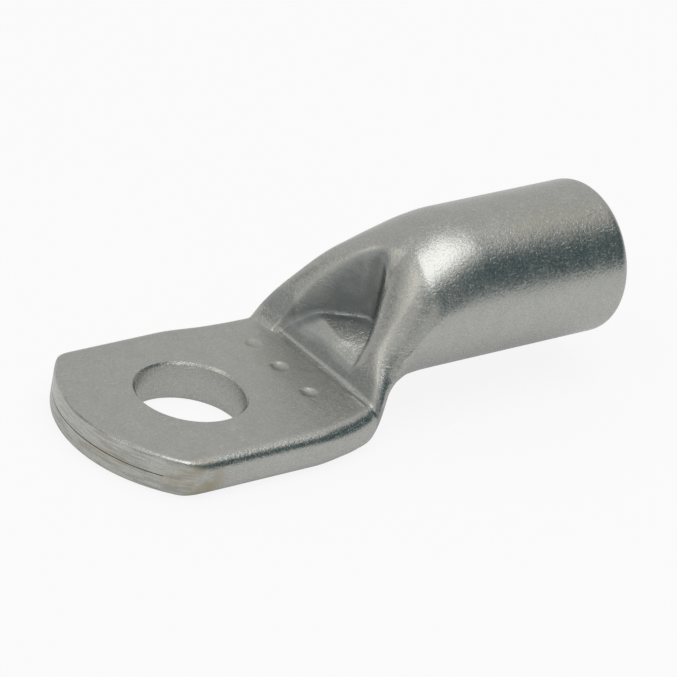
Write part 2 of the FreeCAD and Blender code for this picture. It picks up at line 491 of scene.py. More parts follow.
class Socket:
    """A shader socket that is used in expressions; each operator adds a Math node."""

    def __init__(self, tree: "Tree", link: bpy.types.NodeSocket | None) -> None:
        """Wraps an output of a node, or nothing where the node has no output."""
        self.tree = tree
        self.link = link

    def join(self, operation: Operation, first: "Socket | float", second: "Socket | float") -> "Socket":
        """Adds a Math node with the given operation."""
        return self.tree.add("ShaderNodeMath", {"operation": operation.value}, {0: first, 1: second})

    def __add__(self, other: "Socket | float") -> "Socket":
        """Sum."""
        return self.join(Operation.ADD, self, other)

    def __radd__(self, other: float) -> "Socket":
        """Sum with a number on the left."""
        return self.join(Operation.ADD, other, self)

    def __sub__(self, other: "Socket | float") -> "Socket":
        """Difference."""
        return self.join(Operation.SUBTRACT, self, other)

    def __rsub__(self, other: float) -> "Socket":
        """Difference from a number on the left."""
        return self.join(Operation.SUBTRACT, other, self)

    def __mul__(self, other: "Socket | float") -> "Socket":
        """Product."""
        return self.join(Operation.MULTIPLY, self, other)

    def __rmul__(self, other: float) -> "Socket":
        """Product with a number on the left."""
        return self.join(Operation.MULTIPLY, other, self)

    def clipped(self) -> "Socket":
        """Value held between 0 and 1."""
        return self.tree.add("ShaderNodeClamp", {}, {"Value": self})

    def ramp(self, low: float, high: float) -> "Socket":
        """Smooth step from 0 at low to 1 at high."""
        ends = {"Value": self, "From Min": low, "From Max": high}
        return self.tree.add("ShaderNodeMapRange", {"interpolation_type": "SMOOTHSTEP"}, ends)

    def rise(self, low: float, high: float) -> "Socket":
        """Smooth step of a length, with its ends in millimetres."""
        return self.ramp(low * MM, high * MM)


class Tree:
    """A node tree with short ways to add its nodes."""

    def __init__(self, owner: bpy.types.Material | bpy.types.World) -> None:
        """Empties the tree of its owner.

        Args:
            owner: the material or world that the tree belongs to.
        """
        owner.use_nodes = True
        self.nodes = owner.node_tree.nodes
        self.links = owner.node_tree.links
        self.nodes.clear()

    def add(
        self,
        kind: str,
        settings: dict[str, object],
        values: dict[str | int, object],
        output: str | int = 0,
    ) -> Socket:
        """Adds one node.

        Args:
            kind: the node's type.
            settings: attributes that are set before its sockets.
            values: numbers, colours or links for its input sockets.
            output: which output to return.

        Returns:
            The chosen output.
        """
        node = self.nodes.new(kind)
        for name, value in settings.items():
            setattr(node, name, value)
        for name, value in values.items():
            socket = node.inputs[name]
            if isinstance(value, Socket):
                self.links.new(value.link, socket)
            else:
                socket.default_value = value
        return Socket(self, node.outputs[output] if len(node.outputs) else None)

    def vector(self, operation: Operation, *parts: Socket | Point, output: str = "Vector") -> Socket:
        """Adds a Vector Math node with the given operation."""
        return self.add(
            "ShaderNodeVectorMath", {"operation": operation.value}, dict(enumerate(parts)), output=output
        )

    def length(self, vector: Socket) -> Socket:
        """Length of a vector."""
        return self.vector(Operation.LENGTH, vector, output="Value")

    def along(self, vector: Socket, axis: Sequence[float]) -> Socket:
        """How far a vector reaches along an axis."""
        return self.vector(Operation.DOT_PRODUCT, vector, tuple(axis), output="Value")

    def blend(self, share: Socket | float, first: Socket | Colour, second: Socket | Colour) -> Socket:
        """Mixes two colours."""
        parts = {MIX_SHARE: share, MIX_FIRST: first, MIX_SECOND: second}
        return self.add("ShaderNodeMix", {"data_type": "RGBA"}, parts, output=MIX_RESULT)

    def noise(self, place: Socket, scale: float, detail: float) -> Socket:
        """Cloudy noise from 0 to 1."""
        return self.add("ShaderNodeTexNoise", {}, {"Vector": place, "Scale": scale, "Detail": detail})

    def ray(self, kind: Ray) -> Socket:
        """Value that is 1 for one kind of ray."""
        return self.add("ShaderNodeLightPath", {}, {}, output=kind.value)


def grey(level: float) -> Colour:
    """Neutral colour of a given level."""
    return (level, level, level, 1.0)


@dataclass
class Barrel:
    """Round end of the lug that takes the cable's strands."""

    radius: float = 6.0
    bore_radius: float = 4.25
    end_x: float = 36.8
    axis_height: float = 7.85
    rim_round: float = 0.55
    rim_spread: float = 1.6
    mouth_round: float = 0.3
    throat_stations: tuple[float, ...] = (14.6, 16.0, 17.3, 18.6, 20.0)
    throat_half_width: tuple[float, ...] = (2.2, 2.7, 3.1, 3.9)
    throat_top: tuple[float, ...] = (2.3, 3.0, 3.9, 7.2)
    throat_bottom: tuple[float, ...] = (1.8, 2.4, 2.95, 3.4)
    throat_least: float = 0.2
    throat_end_x: float = 15.0
    throat_blend: float = 0.5

    def end_cut(self, x: Array, y: Array, z: Array) -> Array:
        """Field of everything on the lug's side of the barrel's end face."""
        return x - self.end_x

    def bore(self, x: Array, y: Array, z: Array) -> Array:
        """Field of the bore, closing behind the barrel to the throat's slit.

        Args:
            x: places along the lug.
            y: places across it.
            z: heights.

        Returns:
            The field, negative in the bore's room.
        """
        floor = self.axis_height - self.bore_radius
        half_width, top, bottom = (
            Profile(self.throat_stations, (*values, last))(x)
            for values, last in (
                (self.throat_half_width, self.bore_radius),
                (self.throat_top, floor + 2.0 * self.bore_radius),
                (self.throat_bottom, floor),
            )
        )
        middle = (top + bottom) / 2
        half_height = np.maximum((top - bottom) / 2, self.throat_least)
        radius = np.minimum(half_height, half_width)
        across = np.maximum(np.abs(y) - (half_width - radius), 0.0)
        upright = np.maximum(np.abs(z - middle) - (half_height - radius), 0.0)
        return smooth_max(np.hypot(across, upright) - radius, self.throat_end_x - x, self.throat_blend)


@dataclass
class Palm:
    """Flat end of the lug, two walls pressed together."""

    half_width: float = 9.1
    thickness: float = 3.2
    side_round: float = 1.2
    side_clearance: float = 0.02
    front_x: float = -9.9
    front_radius: float = 11.6
    corner_round: float = 0.9
    fold_x: float = 11.4
    edge_round: float = 0.42
    lower_edge_break: float = 0.3
    lower_edge_round: float = 0.25
    hole_radius: float = 4.2
    hole_edge_break: float = 0.2
    hole_segments: int = 160
    seam_gap: float = 0.06
    seam_depth: float = 0.4
    seam_half_width: float = 7.2
    seam_steps: int = 60
    hole_cutter_reach: float = 1.0
    seam_cutter_reach: float = 0.5

    def front_cut(self, x: Array, y: Array, z: Array) -> Array:
        """Field of everything behind the arc that the press cut along the front.

        Args:
            x: places along the lug.
            y: places across it.
            z: heights.

        Returns:
            The field.
        """
        centre_x = self.front_x + self.front_radius
        arc = np.hypot(np.minimum(x, centre_x) - centre_x, y) - self.front_radius
        side = np.abs(y) - self.half_width
        column = smooth_max(arc, side - self.side_clearance, self.corner_round)
        lower_edge = (column - z + self.lower_edge_break) * math.sqrt(0.5)
        return smooth_max(column, lower_edge, self.lower_edge_round)

    def hole_cutter(self) -> bpy.types.Object:
        """Turned cutter for the bolt hole, wider at both faces to break the edges.

        Returns:
            The cutter.
        """
        wide = self.hole_radius + self.hole_edge_break
        rings = [
            (wide, -self.hole_cutter_reach),
            (wide, 0.0),
            (self.hole_radius, self.hole_edge_break),
            (self.hole_radius, self.thickness - self.hole_edge_break),
            (wide, self.thickness),
            (wide, self.thickness + self.hole_cutter_reach),
        ]
        return turned_solid("hole_cutter", rings, self.hole_segments)

    def seam_cutter(self) -> bpy.types.Object:
        """Thin curved blade that opens the line between the two pressed walls.

        Returns:
            The cutter.
        """
        centre_x = self.front_x + self.front_radius
        reach = math.asin(self.seam_half_width / self.front_radius)
        middle = self.thickness / 2
        points = []
        for radius in (self.front_radius - self.seam_depth, self.front_radius + self.seam_cutter_reach):
            for height in (middle - self.seam_gap / 2, middle + self.seam_gap / 2):
                for step in range(self.seam_steps + 1):
                    angle = -reach + 2.0 * reach * step / self.seam_steps
                    points.append((centre_x - radius * math.cos(angle), radius * math.sin(angle), height))
        row = self.seam_steps + 1
        faces = [
            (first * row + step, first * row + step + 1, second * row + step + 1, second * row + step)
            for step in range(self.seam_steps)
            for first, second in ((0, 1), (1, 3), (3, 2), (2, 0))
        ]
        faces.append((0, row, 3 * row, 2 * row))
        faces.append((row - 1, 3 * row - 1, 4 * row - 1, 2 * row - 1))
        return mesh_object("seam_cutter", np.array(points), faces)


@dataclass
class Neck:
    """Pressed stretch between the flat palm and the round barrel."""

    stations: tuple[float, ...] = (11.4, 12.07, 12.84, 13.8, 15.5, 17.3, 19.1, 21.0, 23.0)
    underside: tuple[float, ...] = (0.0, 0.0, 0.0, 0.12, 0.55, 0.90, 0.99, 1.0, 1.0)
    waist: tuple[float, ...] = (0.0, 0.02, 0.12, 0.42, 0.80, 0.97, 1.0, 1.0, 1.0)
    crown: tuple[float, ...] = (0.0, 0.11, 0.31, 0.54, 0.74, 0.85, 0.92, 0.975, 1.0)
    lower_roundness: tuple[float, ...] = (0.0, 0.06, 0.22, 0.70, 0.93, 1.0, 1.0, 1.0, 1.0)
    upper_roundness: tuple[float, ...] = (0.0, 0.04, 0.11, 0.24, 0.50, 0.80, 0.95, 0.99, 1.0)
    flat_angle: float = math.radians(30.0)
    far_stations: tuple[float, ...] = (3.0, 7.1, 9.3, 11.4, 12.07, 12.84, 13.8, 15.5, 17.3)
    far_half_width: tuple[float, ...] = (9.1, 8.6, 8.45, 8.38, 8.25, 7.55, 6.5, 6.09, 6.0)
    near_stations: tuple[float, ...] = (5.8, 7.0, 8.3, 9.6, 10.4, 11.15, 12.05, 12.9, 13.8, 15.5, 17.3)
    near_half_width: tuple[float, ...] = (9.1, 8.97, 8.73, 8.46, 8.22, 7.98, 7.58, 7.1, 6.45, 6.09, 6.0)
    bead_x: float = 11.4
    bead_slope: float = 0.15
    riser_x: float = 11.98
    riser_slope: float = 2.0
    riser_blend: float = 0.12
    relief_slope: float = 4.0
    relief_lead: float = 0.25
    ridge_x: float = 12.71
    ridge_height: float = 5.25
    ridge_slope: float = 1.25
    ridge_bend: float = 0.10
    ridge_blend: float = 2.2
    ridge_tilt: float = 0.28
    ridge_tilt_y: float = -4.2
    ridge_end_y: float = -1.2

    def riser(self, x: Array, far_side: Array, palm_top: float) -> Array:
        """Height of the front that the punch left: a low bead, then a steep riser.

        Args:
            x: places along the lug.
            far_side: distance beyond the pocket's far wall, where the riser ends.
            palm_top: height of the palm's top.

        Returns:
            The height.
        """
        bead = self.bead_slope * np.maximum(x - self.bead_x, 0.0)
        steep = (self.riser_slope - self.bead_slope) * np.maximum(x - self.riser_x, 0.0)
        relief = self.relief_slope * np.maximum(far_side + self.relief_lead, 0.0)
        return palm_top + bead + steep + relief

    def near_ridge(self, x: Array, y: Array) -> Array:
        """Height of the near ridge's top, which leans down to the near side and ends at the pocket.

        Args:
            x: places along the lug.
            y: places across it.

        Returns:
            The height.
        """
        along = x - self.ridge_x
        climb = self.ridge_slope * along + self.ridge_bend * along**2
        lean = self.ridge_tilt * np.maximum(self.ridge_tilt_y - y, 0.0)
        return self.ridge_height + climb - lean + np.maximum(y - self.ridge_end_y, 0.0)

    def top(self, x: Array, y: Array, far_side: Array, crown: Array, palm_top: float) -> Array:
        """Height of the tube's top, from its crown and the two surfaces that the punch left.

        Args:
            x: places along the lug.
            y: places across it.
            far_side: distance beyond the pocket's far wall.
            crown: height of the tube's top before the punch.
            palm_top: height of the palm's top.

        Returns:
            The height.
        """
        pressed = smooth_min(crown, self.near_ridge(x, y), self.ridge_blend)
        pressed = smooth_min(pressed, self.riser(x, far_side, palm_top), self.riser_blend)
        return np.where(x > self.bead_x, np.maximum(pressed, palm_top), crown)


@dataclass
class Pocket:
    """Hollow that the punch left between the two ridges, with a tongue on its floor."""

    far_point: Span = (11.4, 5.75)
    far_slope: float = 0.954
    near_point: Span = (13.7, -2.9)
    near_slope: float = 0.80
    near_side_y: float = -2.9
    near_side_blend: float = 1.2
    apex_x: float = 17.6
    apex_round: float = 1.6
    batter: float = 0.03
    rim_height: float = 11.0
    peak: Point = (13.47, 0.64, 5.35)
    peak_blend: float = 0.35
    face_slope: Span = (0.872, 0.0)
    face_blend: float = 0.10
    back_slope: Span = (0.18, 0.03)
    near_face_slope: Span = (0.26, 0.19)
    start_x: float = 11.6
    start_slope: float = 2.0
    crease_blend: float = 0.16
    foot_blend: float = 0.12
    lip_blend: float = 0.8
    far_foot_blend: float = 2.0
    near_blend: float = 1.9
    lip_rise: Span = (11.9, 13.3)
    far_foot_end: Span = (13.6, 16.2)
    far_half: Span = (0.5, 3.0)
    near_half: Span = (-0.2, 1.6)

    def floor(self, x: Array, y: Array) -> Array:
        """Height of the pocket's floor, with the tongue's three faces.

        Args:
            x: places along the lug.
            y: places across it.

        Returns:
            The height.
        """
        along = x - self.peak[0]
        across = y - self.peak[1]
        face, back, near = (
            self.peak[2] + slope[0] * along + slope[1] * across
            for slope in (self.face_slope, self.back_slope, self.near_face_slope)
        )
        ahead = np.maximum(self.start_x - x, 0.0)
        tongue = smooth_min(smooth_min(back, near, self.peak_blend), face, self.face_blend)
        return tongue + self.start_slope * ahead

    def far_side(self, x: Array, y: Array) -> Array:
        """Distance beyond the line of the pocket's far wall, seen from above."""
        beyond = y - self.far_point[1] + self.far_slope * (x - self.far_point[0])
        return beyond / math.hypot(1.0, self.far_slope)

    def plan(self, x: Array, y: Array, z: Array) -> Array:
        """Distance outside the pocket's round-tipped outline, which widens a little with height.

        Args:
            x: places along the lug.
            y: places across it.
            z: heights.

        Returns:
            The distance.
        """
        far = self.far_side(x, y) + self.batter * (self.rim_height - z)
        beyond = self.near_point[1] - y + self.near_slope * (x - self.near_point[0])
        near = beyond / math.hypot(1.0, self.near_slope)
        side = smooth_max(near, self.near_side_y - y, self.near_side_blend)
        return smooth_max(smooth_max(far, side, self.apex_round), x - self.apex_x, self.apex_round)

    def hollow(self, x: Array, y: Array, z: Array) -> Array:
        """Field of the room that the punch took."""
        return smooth_max(self.plan(x, y, z), self.floor(x, y) - z, self.crease_blend)

    def lip(self, x: Array, y: Array) -> Array:
        """Width over which the lip is rounded: tight at the bead and broad on both ridges.

        Args:
            x: places along the lug.
            y: places across it.

        Returns:
            The width.
        """
        rise = step_up(x, *self.lip_rise)
        foot = 1.0 - step_up(x, *self.far_foot_end)
        far = (self.far_foot_blend - self.lip_blend) * step_up(y, *self.far_half) * foot
        near = (self.near_blend - self.lip_blend) * step_up(-y, *self.near_half)
        return self.foot_blend + rise * (self.lip_blend - self.foot_blend + far + near)


@dataclass
class PunchMarks:
    """Row of plain shallow dimples across the palm."""

    places: tuple[Span, ...] = ((8.9, 4.3), (8.7, 0.6), (8.5, -3.4))
    radius: float = 0.72
    depth: float = 0.17
    surface: float = 3.2

    def dent(self, body: Array, x: Array, y: Array, z: Array) -> Array:
        """Sinks the dimples into the palm's top.

        Args:
            body: field of the lug.
            x: places along the lug.
            y: places across it.
            z: heights.

        Returns:
            The field with the dimples.
        """
        for centre_x, centre_y in self.places:
            share = np.hypot(x - centre_x, y - centre_y) / self.radius
            bowl = self.depth * (1.0 - np.minimum(share, 1.0) ** 2)
            body = np.where(share < 1.0, np.maximum(body, z - self.surface + bowl), body)
        return body


@dataclass(frozen=True)
class Mottle:
    """Unevenness of the plating in one size, with its shares in the tone, gloss and relief."""

    scale: float
    detail: float
    span: Span
    tone: float
    gloss: float
    relief: float

    def noise(self, tree: Tree, place: Socket) -> Socket:
        """Noise of this size over the surface."""
        return tree.noise(place, self.scale, self.detail)


@dataclass(frozen=True)
class Scratches:
    """Fine parallel scratches in one direction, from noise drawn out along it."""

    direction: Point
    length: float = 0.0030
    width: float = 0.00011
    threshold: float = 0.66
    fade: float = 0.08

    def mask(self, tree: Tree, place: Socket) -> Socket:
        """Mask that is 1 on a scratch.

        Args:
            tree: the tree that gets the nodes.
            place: the place on the surface.

        Returns:
            The mask.
        """
        along = Vector(self.direction).normalized()
        side = along.orthogonal().normalized()
        sizes = ((along, self.length), (side, self.width), (along.cross(side), self.width))
        parts = {name: tree.along(place, axis) * (1.0 / size) for name, (axis, size) in zip("XYZ", sizes)}
        drawn_out = tree.add("ShaderNodeCombineXYZ", {}, parts)
        return tree.noise(drawn_out, 1.0, 1.0).ramp(self.threshold, self.threshold + self.fade)


@dataclass(frozen=True)
class Stain:
    """A place where the plating has gone brownish."""

    centre: Point
    reach: Point
    strength: float
    full: float = 0.7

    def mask(self, tree: Tree, place: Socket) -> Socket:
        """Mask that falls from the strength at the stain's centre to 0 at its reach.

        Args:
            tree: the tree that gets the nodes.
            place: the place on the surface.

        Returns:
            The mask.
        """
        centre = tuple(value * MM for value in self.centre)
        shrink = tuple(1.0 / (value * MM) for value in self.reach)
        scaled = tree.vector(Operation.MULTIPLY, tree.vector(Operation.SUBTRACT, place, centre), shrink)
        return (1.0 - tree.length(scaled)).ramp(0.0, self.full) * self.strength


@dataclass(frozen=True)
class DullShadedWalls:
    """Painted shade on the pocket's upright walls and on the riser, a darker blue-grey where the hollow
    lies in shade; the same mask also makes the plating there rougher.
    """

    # Painted shade: the darker blue-grey laid over the pocket's walls and the riser.
    colour: Colour = (0.25, 0.27, 0.275, 1.0)
    evenness: float = 0.75
    cloud_span: Span = (0.35, 0.6)
    roughness: float = 0.08
    far_overlap: float = 0.35
    far_fade: float = 0.5
    near_overlap: float = 0.15
    near_fade: float = 0.4
    apex_margin: float = 0.55
    apex_fade: float = 0.5
    far_wall: Span = (-1.3, -0.6)
    back_wall: Span = (15.2, 16.2)
    start: Span = (11.9, 13.2)
    riser_foot: Span = (11.95, 12.15)
    riser_top: float = 12.85
    riser_fade: float = 0.25
    riser_share: float = 0.48

    def mask(self, tree: Tree, place: Socket, pocket: Pocket) -> Socket:
        """Mask of the painted shade on the pocket's walls and the riser, which also sets their rougher
        finish.

        Args:
            tree: the tree that gets the nodes.
            place: the place on the surface.
            pocket: the pocket whose walls they are.

        Returns:
            The mask.
        """
        far_line = Vector((pocket.far_slope, 1.0, 0.0)).normalized()
        near_line = Vector((pocket.near_slope, -1.0, 0.0)).normalized()
        far = tree.along(place, far_line) - far_line.dot(Vector((*pocket.far_point, 0.0))) * MM
        near = tree.along(place, near_line) - near_line.dot(Vector((*pocket.near_point, 0.0))) * MM
        along = tree.along(place, LENGTHWAYS)
        bounds = (self.far_overlap * MM - far).rise(0.0, self.far_fade)
        bounds = bounds * (self.near_overlap * MM - near).rise(0.0, self.near_fade)
        bounds = bounds * ((pocket.apex_x - self.apex_margin) * MM - along).rise(0.0, self.apex_fade)
        deep = (far.rise(*self.far_wall) + along.rise(*self.back_wall)).clipped()
        riser = along.rise(*self.riser_foot) * (self.riser_top * MM - along).rise(0.0, self.riser_fade)
        return (bounds * deep * along.rise(*self.start) + riser * self.riser_share).clipped()


@dataclass(frozen=True)
class ShearedFront:
    """Streaks on the palm's front, where the press cut through both walls."""

    colour: Colour = (0.33, 0.325, 0.29, 1.0)
    squeeze: Point = (500.0, 500.0, 5200.0)
    detail: float = 3.0
    bright_span: Span = (0.38, 0.66)
    bright_share: float = 0.25
    dark_top: float = 0.52
    dark_fade: float = 0.12
    dark_share: float = 0.45
    relief: float = 0.6
    start: Span = (4.6, 5.4)
    depth: Span = (0.22, 0.10)

    def mask(self, tree: Tree, place: Socket, palm: Palm) -> Socket:
        """Mask of the sheared face.

        Args:
            tree: the tree that gets the nodes.
            place: the place on the surface.
            palm: the palm whose front it is.

        Returns:
            The mask.
        """
        centre = ((palm.front_x + palm.front_radius) * MM, 0.0, 0.0)
        flat = tree.vector(Operation.MULTIPLY, tree.vector(Operation.SUBTRACT, place, centre), LEVEL)
        inner, outer = (palm.front_radius - depth for depth in self.depth)
        ahead = (-1.0 * tree.along(place, LENGTHWAYS)).rise(*self.start)
        return tree.length(flat).rise(inner, outer) * ahead

    def streaks(self, tree: Tree, place: Socket) -> Socket:
        """Noise squeezed into long level streaks."""
        return tree.noise(tree.vector(Operation.MULTIPLY, place, self.squeeze), 1.0, self.detail)


@dataclass(frozen=True)
class TinnedCopper:
    """Tumbled tin plating: satin grey, finely scratched, brownish where it has worn."""

    colour: Colour = (0.545, 0.545, 0.515, 1.0)
    dark_colour: Colour = (0.43, 0.435, 0.415, 1.0)
    scratch_colour: Colour = (0.66, 0.66, 0.64, 1.0)
    stain_colour: Colour = (0.36, 0.31, 0.20, 1.0)
    roughness: float = 0.275
    cloud: Mottle = Mottle(650.0, 4.0, (0.30, 0.70), 0.25, 0.10, 0.7)
    grain: Mottle = Mottle(4600.0, 3.0, (0.32, 0.66), 0.45, 0.16, 0.8)
    speckle: Mottle = Mottle(9000.0, 2.0, (0.35, 0.65), 0.30, 0.0, 0.35)
    scratches: tuple[Scratches, ...] = (
        Scratches((1.0, 0.25, 0.1)),
        Scratches((0.3, 1.0, 0.2), 0.0022),
        Scratches((0.8, -0.7, 0.35), 0.0018),
        Scratches((0.1, 0.5, 1.0), 0.0016),
    )
    scratch_share: float = 0.5
    scratch_gloss: float = 0.05
    scratch_relief: float = 0.25
    stains: tuple[Stain, ...] = (
        Stain((-5.3, -8.3, 1.4), (3.2, 2.8, 2.2), 1.0),
        Stain((-8.5, -4.0, 1.5), (3.5, 6.5, 0.9), 0.75),
        Stain((8.7, 0.5, 3.2), (1.7, 6.5, 0.8), 0.22),
        Stain((31.5, -3.0, 13.0), (8.0, 3.0, 2.0), 0.30),
    )
    stain_span: Span = (0.30, 0.62)
    stain_evenness: float = 0.55
    stain_roughness: float = 0.08
    dull_shaded_walls: DullShadedWalls = DullShadedWalls()
    front: ShearedFront = ShearedFront()
    pressed_roughness: float = 0.12
    pressed_fade: float = 0.6
    level_span: Span = (0.90, 0.98)
    bump_strength: float = 0.5
    bump_distance: float = 0.00005

    def summed(self, tree: Tree, place: Socket, marks: Sequence[Scratches] | Sequence[Stain]) -> Socket:
        """Adds up the masks of several marks.

        Args:
            tree: the tree that gets the nodes.
            place: the place on the surface.
            marks: the scratches or the stains.

        Returns:
            The sum of their masks.
        """
        total = marks[0].mask(tree, place)
        for mark in marks[1:]:
            total = total + mark.mask(tree, place)
        return total

    def pressed(self, tree: Tree, place: Socket, palm: Palm) -> Socket:
        """Mask of the palm's level faces, which the press left more matt.

        Args:
            tree: the tree that gets the nodes.
            place: the place on the surface.
            palm: the palm whose faces they are.

        Returns:
            The mask.
        """
        normal = tree.add("ShaderNodeTexCoord", {}, {}, output="Normal")
        before_fold = palm.fold_x * MM - tree.along(place, LENGTHWAYS)
        level = tree.along(normal, UPWARDS).ramp(*self.level_span)
        return before_fold.rise(-self.pressed_fade, self.pressed_fade) * level

    def material(self, palm: Palm, pocket: Pocket) -> bpy.types.Material:
        """Makes the plating's material.

        Args:
            palm: the palm with the sheared front.
            pocket: the pocket whose walls and riser get painted shade.

        Returns:
            The new material.
        """
        material = bpy.data.materials.new("tinned_copper")
        tree = Tree(material)
        place = tree.add("ShaderNodeTexCoord", {}, {}, output="Object")
        mottles = (self.cloud, self.grain, self.speckle)
        cloud, grain, speckle = (mottle.noise(tree, place) for mottle in mottles)
        lines = self.summed(tree, place, self.scratches).clipped()
        worn = (self.summed(tree, place, self.stains) * cloud.ramp(*self.stain_span)).clipped()
        sheared = self.front.mask(tree, place, palm)
        streaks = self.front.streaks(tree, place)
        # Painted shade in the pocket and on the riser; the same mask also roughens the plating there.
        dull_and_shade = self.dull_shaded_walls.mask(tree, place, pocket)
        pressed = self.pressed(tree, place, palm)

        tone = self.grain.tone * grain.ramp(*self.grain.span)
        tone = tone + self.cloud.tone * cloud.ramp(*self.cloud.span)
        tone = (tone + self.speckle.tone * speckle.ramp(*self.speckle.span)).clipped()
        colour = tree.blend(tone, self.dark_colour, self.colour)
        colour = tree.blend(lines * self.scratch_share, colour, self.scratch_colour)
        patchy = self.stain_evenness + (1.0 - self.stain_evenness) * grain
        colour = tree.blend(worn * patchy, colour, self.stain_colour)
        bright = sheared * streaks.ramp(*self.front.bright_span) * self.front.bright_share
        colour = tree.blend(bright, colour, self.scratch_colour)
        dark = (self.front.dark_top - streaks).ramp(0.0, self.front.dark_fade)
        colour = tree.blend(sheared * dark * self.front.dark_share, colour, self.front.colour)
        # Painted shade darkens the pocket's walls and the riser.
        evenness = self.dull_shaded_walls.evenness
        clouded = evenness + (1.0 - evenness) * cloud.ramp(*self.dull_shaded_walls.cloud_span)
        colour = tree.blend(dull_and_shade * clouded, colour, self.dull_shaded_walls.colour)

        rough = self.roughness + self.pressed_roughness * pressed + self.dull_shaded_walls.roughness * dull_and_shade
        rough = rough + self.cloud.gloss * (cloud - 0.5) + self.grain.gloss * (grain - 0.5)
        rough = rough - self.scratch_gloss * lines + self.stain_roughness * worn
        height = grain * self.grain.relief + speckle * self.speckle.relief + cloud * self.cloud.relief
        height = height - lines * self.scratch_relief + sheared * streaks * self.front.relief
        bump = tree.add(
            "ShaderNodeBump",
            {},
            {"Height": height, "Strength": self.bump_strength, "Distance": self.bump_distance},
        )
        shader = tree.add(
            "ShaderNodeBsdfPrincipled",
            {},
            {"Base Color": colour, "Metallic": 1.0, "Roughness": rough, "Normal": bump},
        )
        tree.add("ShaderNodeOutputMaterial", {}, {"Surface": shader})
        return material


@dataclass
class CableLug:
    """The whole lug: palm, neck, pocket and barrel in one skin."""

    palm: Palm = field(default_factory=Palm)
    neck: Neck = field(default_factory=Neck)
    pocket: Pocket = field(default_factory=Pocket)
    marks: PunchMarks = field(default_factory=PunchMarks)
    barrel: Barrel = field(default_factory=Barrel)
    plating: TinnedCopper = field(default_factory=TinnedCopper)
    pitch: float = 0.18
    margin_before: Point = (0.55, 0.63, 0.6)
    margin_after: Point = (0.6, 0.6, 0.6)
    sharp_angle: float = math.radians(38.0)

    def share(self, shares: Sequence[float], start: float, end: float) -> Profile:
        """Profile of a size that goes from the palm's value to the barrel's."""
        values = tuple(start + (end - start) * value for value in shares)
        return Profile(self.neck.stations, values)

    def tube(self, x: Array, y: Array, z: Array) -> Array:
        """Field of the pressed tube before its ends are cut.

        Args:
            x: places along the lug.
            y: places across it.
            z: heights.

        Returns:
            The field.
        """
        palm, neck, barrel = self.palm, self.neck, self.barrel
        far = Profile(neck.far_stations, neck.far_half_width)(x)
        near = Profile(neck.near_stations, neck.near_half_width)(x)
        half_width = np.where(y > 0.0, far, near)
        bottom = self.share(neck.underside, 0.0, barrel.axis_height - barrel.radius)(x)
        crown = self.share(neck.crown, palm.thickness, barrel.axis_height + barrel.radius)(x)
        top = neck.top(x, y, self.pocket.far_side(x, y), crown, palm.thickness)
        waist = self.share(neck.waist, palm.thickness / 2, barrel.axis_height)(x)
        lower = self.share(neck.lower_roundness, 0.0, 1.0)(x)
        upper = self.share(neck.upper_roundness, 0.0, 1.0)(x)
        above = z > waist
        roundness = np.where(above, upper, lower)
        radius = palm.side_round + (barrel.radius - palm.side_round) * roundness
        half_height = np.where(above, top - waist, waist - bottom)
        quarter = Quarter(half_width, half_height, radius, neck.flat_angle * roundness)
        return quarter.distance(np.abs(y), np.abs(z - waist))

    def solid(self, x: Array, y: Array, z: Array) -> Array:
        """Field of the finished lug without its bolt hole and seam.

        Args:
            x: places along the lug.
            y: places across it.
            z: heights.

        Returns:
            The field.
        """
        barrel = self.barrel
        body = self.tube(x, y, z)
        body = smooth_max(body, -self.pocket.hollow(x, y, z), self.pocket.lip(x, y))
        body = self.marks.dent(body, x, y, z)
        body = smooth_max(body, self.palm.front_cut(x, y, z), self.palm.edge_round)
        body = smooth_max(body, barrel.end_cut(x, y, z), barrel.rim_round * barrel.rim_spread)
        return smooth_max(body, -barrel.bore(x, y, z), barrel.mouth_round)

    def build(self) -> bpy.types.Object:
        """Makes the lug's mesh and cuts its bolt hole and seam.

        Returns:
            The lug as one closed object.
        """
        palm, barrel = self.palm, self.barrel
        first = (palm.front_x, -palm.half_width, 0.0)
        last = (barrel.end_x, palm.half_width, barrel.axis_height + barrel.radius)
        low = tuple(value - margin for value, margin in zip(first, self.margin_before))
        high = tuple(value + margin for value, margin in zip(last, self.margin_after))
        body = SkinMaker(self.solid, low, high, self.pitch).make("cable_lug_skin")
        for cutter in (palm.hole_cutter(), palm.seam_cutter()):
            cut_away(body, cutter)
        weld(body.data)
        body.data.shade_smooth()
        body.data.set_sharp_from_angle(angle=self.sharp_angle)
        return body

    def dress(self, body: bpy.types.Object) -> None:
        """Gives the skin its plating."""
        body.data.materials.clear()
        body.data.materials.append(self.plating.material(self.palm, self.pocket))


@dataclass(frozen=True)
class Plain:
    """Plain matt white for the table, which keeps the lug's shadow."""

    level: float = 0.86
    glow: float = 0.88
    mirrored_glow: float = 0.30

    def material(self) -> bpy.types.Material:
        """Makes the matt material.

        Returns:
            The new material.
        """
        material = bpy.data.materials.new("white_table")
        tree = Tree(material)
        lit = tree.add("ShaderNodeBsdfDiffuse", {}, {"Color": grey(self.level)})
        white = tree.add("ShaderNodeEmission", {}, {"Color": grey(1.0), "Strength": 1.0})
        share = (tree.ray(Ray.CAMERA) * self.glow + tree.ray(Ray.GLOSSY) * self.mirrored_glow).clipped()
        shown = tree.add("ShaderNodeMixShader", {}, {0: share, 1: lit, 2: white})
        tree.add("ShaderNodeOutputMaterial", {}, {"Surface": shown})
        return material


